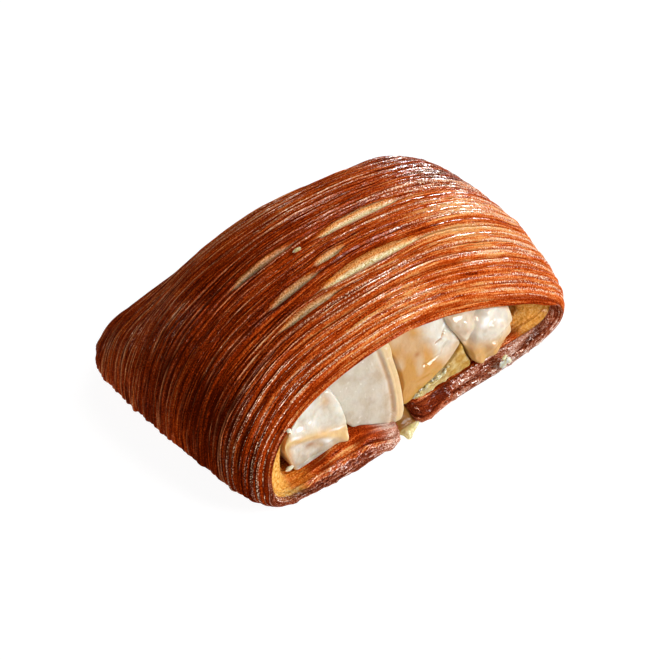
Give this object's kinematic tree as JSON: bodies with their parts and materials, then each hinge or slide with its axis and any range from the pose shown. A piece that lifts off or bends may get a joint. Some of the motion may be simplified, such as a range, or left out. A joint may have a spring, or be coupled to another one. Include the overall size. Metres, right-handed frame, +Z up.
{
  "type": "savoury danish pastry",
  "caption": "Open-ended folded sleeve of ridged, glossy laminated dough, baked dark golden, filled with strips of cooked chicken and a little pale yellow sauce.",
  "frame": {"origin": "centre of the base, on the surface the pastry rests on", "axes": "+X across the sleeve to the right as seen from the front, +Y from the open front to the back, +Z up"},
  "size_m": [0.123, 0.0798, 0.0482],
  "materials": {
    "crust": "egg-washed baked laminated dough, glossy on the ridges, dark red-brown to golden",
    "chicken": "moist cooked chicken, off-white with peach edges",
    "sauce": "smooth pale yellow sauce"
  },
  "bodies": {
    "root": {"pastry": "crust", "chicken_1": "chicken", "chicken_2": "chicken", "chicken_3": "chicken", "chicken_4": "chicken", "sauce": "sauce", "sauce_drip": "sauce"}
  },
  "joints": []
}
